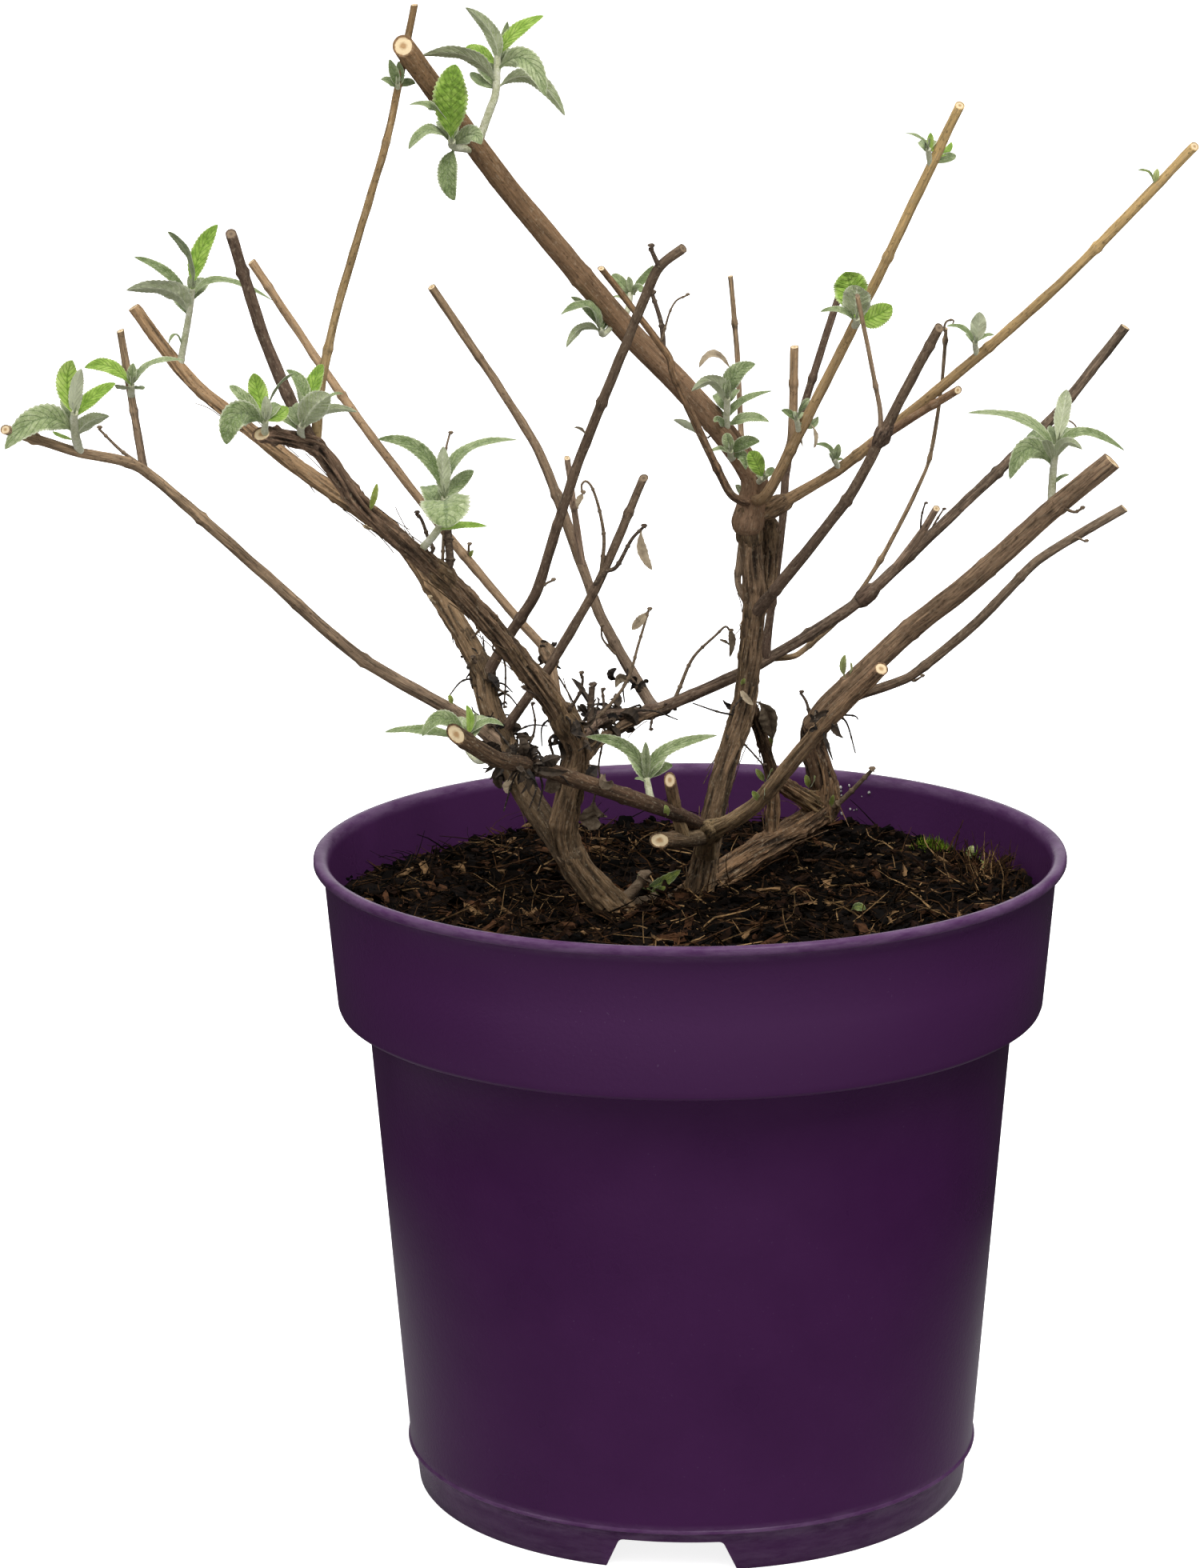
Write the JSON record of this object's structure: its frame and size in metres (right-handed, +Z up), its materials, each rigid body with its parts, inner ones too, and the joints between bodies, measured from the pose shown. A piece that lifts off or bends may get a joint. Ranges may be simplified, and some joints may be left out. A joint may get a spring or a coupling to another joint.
{
  "type": "potted butterfly bush",
  "caption": "Hard-pruned garden shrub with bare cut stems and fresh grey-green leaf shoots, growing in soil in a round purple nursery pot that stands on its flat foot.",
  "frame": {"origin": "centre of the part's box, at ground level under the pot's foot", "axes": "+Z up, +Y towards the back, +X to the right seen from the front"},
  "size_m": [0.3468, 0.23, 0.4593],
  "materials": {
    "pot_plastic": "satin deep purple moulded plastic, pale scuffs on lip and foot line",
    "soil": "dark fibrous peat compost",
    "old_bark": "brown stringy ridged bark",
    "dark_bark": "dark brown smooth bark",
    "tan_bark": "tan to olive young bark",
    "leaf": "felted grey-green leaves and woolly shoot stems"
  },
  "bodies": {
    "root": {"back_bough": "old_bark", "back_bough_stub": "old_bark", "back_brace": "old_bark", "back_shoot": "tan_bark", "back_shoot_stub": "old_bark", "back_thin_shoot": "old_bark", "centre_dark_shoot": "dark_bark", "centre_prop": "old_bark", "centre_stem": "old_bark", "centre_thin_shoot": "old_bark", "centre_twin": "old_bark", "front_bough": "old_bark", "front_left_bough": "old_bark", "front_stub": "old_bark", "front_upright_stub": "old_bark", "left_back_bough": "tan_bark", "left_dark_shoot": "dark_bark", "left_low_bough": "old_bark", "left_low_shoot": "old_bark", "left_stem": "old_bark", "left_tall_shoot": "tan_bark", "left_thin_bough": "tan_bark", "middle_dark_bough": "dark_bark", "middle_dark_shoot": "dark_bark", "pot": "pot_plastic", "right_dark_bough": "dark_bark", "right_dark_twig": "dark_bark", "right_long_bough": "tan_bark", "right_long_stub": "tan_bark", "right_low_bough": "old_bark", "right_stem": "old_bark", "right_stem_stub": "old_bark", "right_tall_bough": "tan_bark", "right_tall_stub": "tan_bark", "right_thick_bough": "old_bark", "shoot_back_left": "leaf", "shoot_centre": "leaf", "shoot_centre_low": "leaf", "shoot_far_left": "leaf", "shoot_front": "leaf", "shoot_front_left": "leaf", "shoot_knot": "leaf", "shoot_left_cut": "leaf", "shoot_left_fork": "leaf", "shoot_left_front": "leaf", "shoot_low_left": "leaf", "shoot_middle_back": "leaf", "shoot_middle_left": "leaf", "shoot_right_long": "leaf", "shoot_right_low": "leaf", "shoot_right_mid": "leaf", "shoot_right_round": "leaf", "shoot_right_top": "leaf", "shoot_tall_tip": "leaf", "shoot_thick_bough": "leaf", "shoot_top_back": "leaf", "shoot_top_front": "leaf", "soil": "soil", "top_bough": "tan_bark", "top_bough_shoot": "old_bark"}
  },
  "joints": []
}
